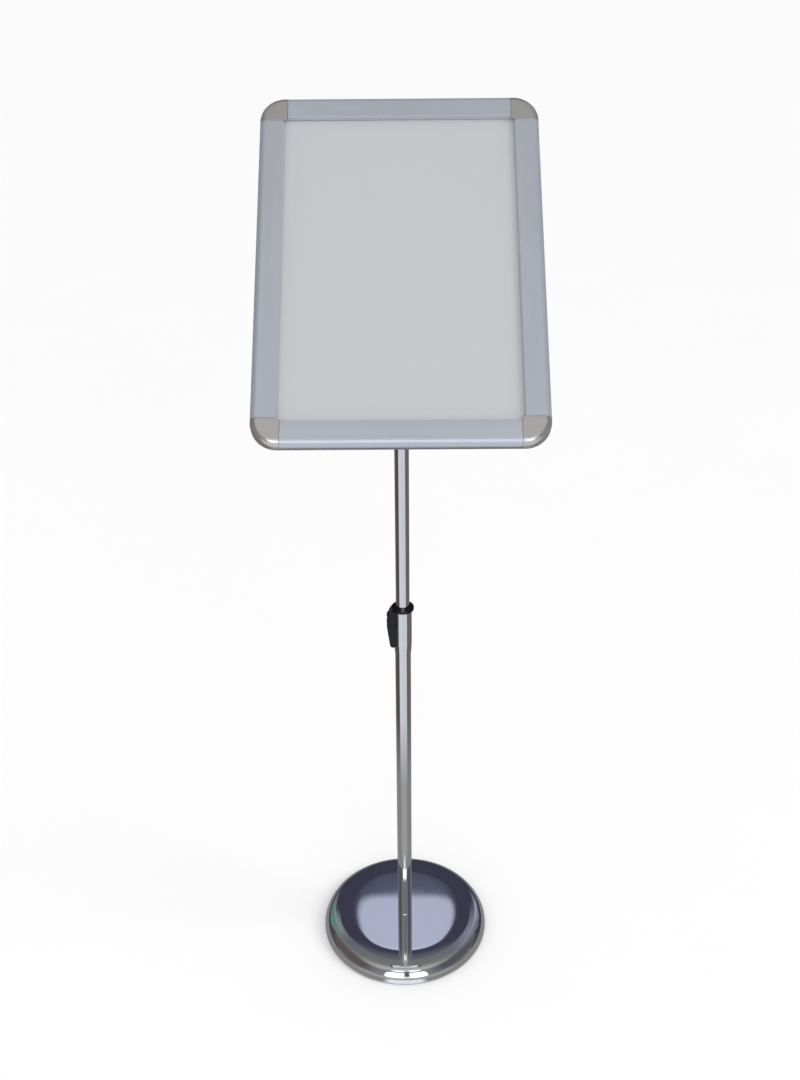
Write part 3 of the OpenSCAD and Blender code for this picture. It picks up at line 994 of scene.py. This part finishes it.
    def build(self) -> None:
        """Builds rails and caps, and dresses what they hold."""
        for side in Side:
            self.build_rail(side)
        x, y = self.width / 2, self.height / 2
        corners = {"bottom_left": (-x, -y), "bottom_right": (x, -y), "top_right": (x, y), "top_left": (-x, y)}
        for quarter, (name, place) in enumerate(corners.items()):
            self.build_cap(name, quarter, *place)
        self.carry([f"back_rail_{side.name.lower()}" for side in Side], MILL_ALUMINIUM, 0.2)
        self.carry(["corner_keys", "cap_screws"], ZINC, 0.2)
        self.carry(["rail_springs"], ZINC, 0.0)
        self.carry(["back_panel"], BOARD, 0.3)
        self.carry(["cover_sheet"], CLEAR_SHEET, 0.1)


# ---------- studio ----------


@dataclass(frozen=True)
class SkyPatch:
    """A soft-edged bright or dark area of the studio that polished metal reflects.

    Attributes:
        azimuth: middle, in degrees from +Y towards +X.
        elevation: middle, in degrees above the horizon.
        half_width: in degrees.
        half_height: in degrees.
        colour: light that it gives, linear.
        soft: width of the soft edge, as a share of the half size.
        power: how square its outline is; 2 is an ellipse.
    """

    azimuth: float
    elevation: float
    half_width: float
    half_height: float
    colour: Colour
    soft: float = 0.15
    power: float = 5.0


@dataclass(frozen=True)
class MirroredFloor:
    """What polished metal sees of the floor: a ring whose tones change with direction and distance.

    Tones are placed from 0 to 1 round the ring, from +Y through -X, -Y (0.5) and +X back to +Y.

    Attributes:
        inner: inner radius, just past the base.
        outer: outer radius.
        lift: height above the floor.
        steps: faces round the ring.
        foot_ends: distances over which the foot's tones give way to the near ones.
        near_ends: distances over which the near tones give way to the far ones.
        foot: tones just round the base.
        near: tones farther out.
        far: tones of the rest.
    """

    inner: float = 0.1305
    outer: float = 29.0
    lift: float = 0.0005
    steps: int = 96
    foot_ends: tuple[float, float] = (0.155, 0.175)
    near_ends: tuple[float, float] = (0.35, 0.55)
    foot: Tones = (
        (0.0, (0.25, 0.25, 0.25)), (0.455, (0.25, 0.25, 0.25)), (0.468, (0.85, 0.87, 0.95)),
        (0.532, (0.85, 0.87, 0.95)), (0.545, (0.25, 0.25, 0.25)), (1.0, (0.25, 0.25, 0.25)))
    near: Tones = (
        (0.0, (0.25, 0.25, 0.25)), (0.34, (0.25, 0.25, 0.25)), (0.42, (0.36, 0.36, 0.36)),
        (0.58, (0.36, 0.36, 0.36)), (0.66, (0.25, 0.25, 0.25)), (1.0, (0.25, 0.25, 0.25)))
    far: Tones = (
        (0.0, (0.2, 0.18, 0.17)), (0.16, (0.125, 0.10, 0.088)), (0.31, (0.07, 0.06, 0.06)),
        (0.335, (0.125, 0.10, 0.088)), (0.365, (0.68, 0.71, 0.74)), (0.45, (0.68, 0.71, 0.74)),
        (0.50, (0.62, 0.67, 0.73)), (0.645, (0.62, 0.67, 0.73)), (0.665, (0.07, 0.06, 0.06)),
        (0.70, (0.16, 0.13, 0.14)), (0.90, (0.16, 0.13, 0.14)), (1.0, (0.2, 0.18, 0.17)))

    def mesh(self) -> bpy.types.Object:
        """Builds the flat ring.

        Returns:
            The new object.
        """
        build = bmesh.new()
        turns = [2 * math.pi * i / self.steps for i in range(self.steps)]
        rings = [[build.verts.new((r * math.cos(a), r * math.sin(a), self.lift)) for a in turns]
                 for r in (self.inner, self.outer)]
        for i in range(self.steps):
            j = (i + 1) % self.steps
            build.faces.new((rings[0][i], rings[1][i], rings[1][j], rings[0][j]))
        return finish_mesh("reflected_floor", build)

    def paint(self) -> bpy.types.Material:
        """Makes the ring's glow.

        Returns:
            The material.
        """
        paint = bpy.data.materials.new("reflected_floor")
        paint.use_nodes = True
        canvas = NodeCanvas(paint.node_tree)
        glow = canvas.add("ShaderNodeEmission")
        output = canvas.add("ShaderNodeOutputMaterial")
        canvas.link(glow.outputs[0], output.inputs["Surface"])
        where = canvas.add("ShaderNodeTexCoord").outputs["Object"]
        split = canvas.add("ShaderNodeSeparateXYZ")
        canvas.link(where, split.inputs[0])
        angle = canvas.math("ARCTAN2", split.outputs["X"], canvas.math("MULTIPLY", split.outputs["Y"], -1.0))
        share = canvas.math("ADD", canvas.math("DIVIDE", angle, 2 * math.pi), 0.5)
        away = canvas.add("ShaderNodeVectorMath", operation="LENGTH")
        canvas.link(where, away.inputs[0])
        length = away.outputs["Value"]
        tones = canvas.ramp(share, self.foot)
        for ends, stops in ((self.foot_ends, self.near), (self.near_ends, self.far)):
            tones = canvas.mix(canvas.spread(length, 0.0, 1.0, *ends), tones, canvas.ramp(share, stops))
        canvas.link(tones, glow.inputs["Color"])
        return paint

    def build(self) -> None:
        """Lays the ring where only reflections see it."""
        ring = self.mesh()
        ring.data.materials.append(self.paint())
        ring.visible_camera = False
        ring.visible_diffuse = False
        ring.visible_shadow = False
        ring.visible_transmission = False


@dataclass
class Studio:
    """Floor, sky, lamps and camera.

    Attributes:
        floor_size: side of the square floor, in metres.
        floor_colour: its base colour.
        ambient: strength of the plain light from all round.
        camera_at: where the camera stands.
        camera_down: how far it looks down, in degrees.
        camera_yaw: how far it is turned about the vertical, in degrees.
        camera_roll: how far it is rolled, in degrees.
        lens: its focal length in millimetres.
        sensor: width of its sensor in millimetres.
        sun_at: the broad far light's azimuth, from -Y towards +X, and elevation, in degrees.
        sun_softness: how wide that light looks, in degrees.
        sun_power: in watts per square metre.
        fill_at: where the small lamp hangs.
        fill_aim: the point that it faces.
        fill_size: side of its square face, in metres.
        fill_power: in watts.
        fill_colour: its light, linear.
        dome: the sky's tones over the top, from the horizon at +Y (0) to the one at -Y (1).
        patches: what stands in front of that sky.
    """

    floor_size: float = 60.0
    floor_colour: Colour = (0.92, 0.92, 0.92)
    ambient: float = 0.90
    camera_at: Triple = (0.0045, -1.5074, 1.6218)
    camera_down: float = 30.763
    camera_yaw: float = 0.284
    camera_roll: float = -0.493
    lens: float = 43.33
    sensor: float = 36.0
    sun_at: tuple[float, float] = (78.0, 36.0)
    sun_softness: float = 26.0
    sun_power: float = 0.9
    fill_at: Triple = (0.4, -2.2, 2.0)
    fill_aim: Triple = (0.0, 0.0, 0.9)
    fill_size: float = 1.2
    fill_power: float = 6.0
    fill_colour: Colour = (0.98, 0.99, 1.0)
    dome: Tones = (
        (0.0, (0.06, 0.06, 0.075)), (0.10, (0.045, 0.045, 0.07)), (0.281, (0.047, 0.047, 0.077)),
        (0.296, (0.12, 0.125, 0.15)), (0.335, (0.14, 0.15, 0.17)), (0.44, (0.21, 0.21, 0.215)),
        (0.50, (0.27, 0.27, 0.25)), (0.522, (0.32, 0.32, 0.295)), (0.607, (0.50, 0.48, 0.46)),
        (0.64, (0.40, 0.40, 0.41)), (0.72, (0.19, 0.21, 0.24)), (1.0, (0.25, 0.245, 0.24)))
    patches: tuple[SkyPatch, ...] = (
        SkyPatch(-100.0, 30.0, 34.0, 26.0, (0.115, 0.095, 0.095), soft=0.3, power=4.0),
        SkyPatch(105.0, 32.0, 34.0, 26.0, (0.10, 0.10, 0.12), soft=0.3, power=4.0),
        SkyPatch(-43.0, 32.0, 16.0, 20.0, (0.17, 0.22, 0.22), soft=0.2, power=4.0),
        SkyPatch(-38.0, 32.0, 5.0, 14.0, (0.08, 0.26, 0.21), soft=0.6, power=2.0),
        SkyPatch(-52.0, 26.0, 2.5, 12.0, (0.07, 0.26, 0.20), soft=0.6, power=2.0),
        SkyPatch(-30.0, 42.0, 3.0, 8.0, (0.28, 0.31, 0.31), soft=0.6, power=2.0),
        SkyPatch(43.0, 38.0, 17.0, 20.0, (0.24, 0.24, 0.31), soft=0.2, power=4.0),
        SkyPatch(34.0, 36.0, 3.0, 12.0, (0.40, 0.41, 0.52), soft=0.6, power=2.0),
        SkyPatch(52.0, 30.0, 2.0, 16.0, (0.08, 0.08, 0.10), soft=0.5, power=3.0),
        SkyPatch(0.1, 46.7, 2.8, 1.8, (0.10, 0.105, 0.165), soft=0.6),
        SkyPatch(-0.06, 47.5, 3.04, 1.45, (0.47, 0.50, 0.65), soft=0.08, power=6.0),
        SkyPatch(0.1, 48.8, 2.0, 0.3, (0.56, 0.64, 0.88), soft=0.6),
        SkyPatch(179.0, 24.0, 26.0, 19.5, (2.2, 2.2, 2.3), soft=0.08, power=8.0),
        SkyPatch(179.0, 58.0, 24.0, 6.5, (1.2, 1.2, 1.3), soft=0.15, power=6.0),
        SkyPatch(178.0, 34.0, 4.0, 26.0, (0.10, 0.10, 0.14), soft=0.4))

    def camera(self) -> None:
        """Makes the camera."""
        data = bpy.data.cameras.new("view")
        data.sensor_width = self.sensor
        data.lens = self.lens
        data.clip_start, data.clip_end = 0.05, 200.0
        view = bpy.data.objects.new("view", data)
        aim = (Matrix.Rotation(math.radians(self.camera_yaw), 4, "Z")
               @ Matrix.Rotation(math.radians(90 - self.camera_down), 4, "X")
               @ Matrix.Rotation(math.radians(self.camera_roll), 4, "Z"))
        view.matrix_world = Matrix.Translation(self.camera_at) @ aim
        bpy.context.scene.collection.objects.link(view)
        bpy.context.scene.camera = view

    def floor(self) -> None:
        """Lays the plain pale floor."""
        build = bmesh.new()
        bmesh.ops.create_grid(build, x_segments=1, y_segments=1, size=self.floor_size / 2)
        ground = finish_mesh("floor", build)
        paint = bpy.data.materials.new("studio_floor")
        paint.use_nodes = True
        canvas = NodeCanvas(paint.node_tree)
        shader = canvas.add("ShaderNodeBsdfPrincipled")
        output = canvas.add("ShaderNodeOutputMaterial")
        canvas.link(shader.outputs[0], output.inputs["Surface"])
        where = canvas.add("ShaderNodeTexCoord").outputs["Object"]
        darker = tuple(c * 0.985 for c in self.floor_colour)
        tone = canvas.mix(canvas.noise(where, 3.0), (*self.floor_colour, 1.0), (*darker, 1.0))
        canvas.link(tone, shader.inputs["Base Color"])
        shader.inputs["Roughness"].default_value = 0.9
        shader.inputs["Specular IOR Level"].default_value = 0.1
        ground.data.materials.append(paint)

    def sky(self) -> None:
        """Makes the world: plain pale light, and for polished metal a dome with soft patches."""
        world = bpy.data.worlds.new("studio")
        bpy.context.scene.world = world
        world.use_nodes = True
        canvas = NodeCanvas(world.node_tree)
        way = canvas.add("ShaderNodeSeparateXYZ")
        canvas.link(canvas.add("ShaderNodeTexCoord").outputs["Generated"], way.inputs[0])
        x, y, z = (way.outputs[i] for i in range(3))
        over = canvas.math("DIVIDE", canvas.math("ARCTAN2", z, y), math.pi)
        tone = canvas.ramp(over, self.dome)
        azimuth = canvas.math("ARCTAN2", x, y)
        elevation = canvas.math("ARCSINE", z)
        for patch in self.patches:
            across = self.offset(canvas, azimuth, patch.azimuth, patch.half_width, wrap=True)
            up = self.offset(canvas, elevation, patch.elevation, patch.half_height)
            reach = canvas.math("ADD", canvas.math("POWER", across, patch.power),
                                canvas.math("POWER", up, patch.power))
            radius = canvas.math("POWER", reach, 1 / patch.power)
            cover = canvas.spread(radius, 1.0, 0.0, 1 - patch.soft, 1 + patch.soft)
            tone = canvas.mix(cover, tone, (*patch.colour, 1.0))
        polished = canvas.add("ShaderNodeBackground")
        canvas.link(tone, polished.inputs["Color"])
        plain = canvas.add("ShaderNodeBackground")
        plain.inputs["Color"].default_value = (1.0, 1.0, 1.0, 1.0)
        plain.inputs["Strength"].default_value = self.ambient
        choose = canvas.add("ShaderNodeMixShader")
        canvas.link(canvas.add("ShaderNodeLightPath").outputs["Is Glossy Ray"], choose.inputs[0])
        canvas.link(plain.outputs[0], choose.inputs[1])
        canvas.link(polished.outputs[0], choose.inputs[2])
        canvas.link(choose.outputs[0], canvas.add("ShaderNodeOutputWorld").inputs["Surface"])

    @staticmethod
    def offset(canvas: NodeCanvas, angle: bpy.types.NodeSocket, middle: float, half: float,
               wrap: bool = False) -> bpy.types.NodeSocket:
        """How far an angle is from a middle, in half sizes.

        Args:
            canvas: the world's node tree.
            angle: the angle in radians.
            middle: the middle in degrees.
            half: the half size in degrees.
            wrap: whether the angle goes all the way round.

        Returns:
            The distance, never negative.
        """
        away = canvas.math("SUBTRACT", angle, math.radians(middle))
        if wrap:
            away = canvas.math("WRAP", away, math.pi, -math.pi)
        return canvas.math("DIVIDE", canvas.math("ABSOLUTE", away), math.radians(half))

    def fill(self) -> None:
        """Hangs the small soft lamp, which shows in no reflection."""
        data = bpy.data.lights.new("fill", "AREA")
        data.size = self.fill_size
        data.energy = self.fill_power
        data.color = self.fill_colour
        light = bpy.data.objects.new("fill", data)
        light.location = self.fill_at
        way = Vector(self.fill_aim) - Vector(self.fill_at)
        light.rotation_euler = way.to_track_quat("-Z", "Y").to_euler()
        light.visible_glossy = False
        bpy.context.scene.collection.objects.link(light)

    def daylight(self) -> None:
        """Hangs the broad far light, which shows in no reflection."""
        azimuth, elevation = self.sun_at
        data = bpy.data.lights.new("key", "SUN")
        data.angle = math.radians(self.sun_softness)
        data.energy = self.sun_power
        light = bpy.data.objects.new("key", data)
        light.rotation_euler = (math.radians(90 - elevation), 0, math.radians(azimuth))
        light.visible_glossy = False
        bpy.context.scene.collection.objects.link(light)

    def build(self) -> None:
        """Sets up the whole studio."""
        self.camera()
        self.floor()
        MirroredFloor().build()
        self.sky()
        self.daylight()
        self.fill()
        view = bpy.context.scene.view_settings
        view.view_transform = "Standard"
        view.look = "None"


def corners(box: Iterable[Vector]) -> list[list[float]]:
    """A box as plain lists of numbers."""
    return [list(corner) for corner in box]


def main() -> None:
    """Builds the stand and the studio in order."""
    logging.basicConfig(level=logging.INFO, format="%(name)s: %(message)s")
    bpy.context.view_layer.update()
    for assembly in (RoundBase(), Pole(), FlipClamp(), TiltHead(), SheetFrame()):
        assembly.build()
    Studio().build()


if __name__ == "__main__":
    main()
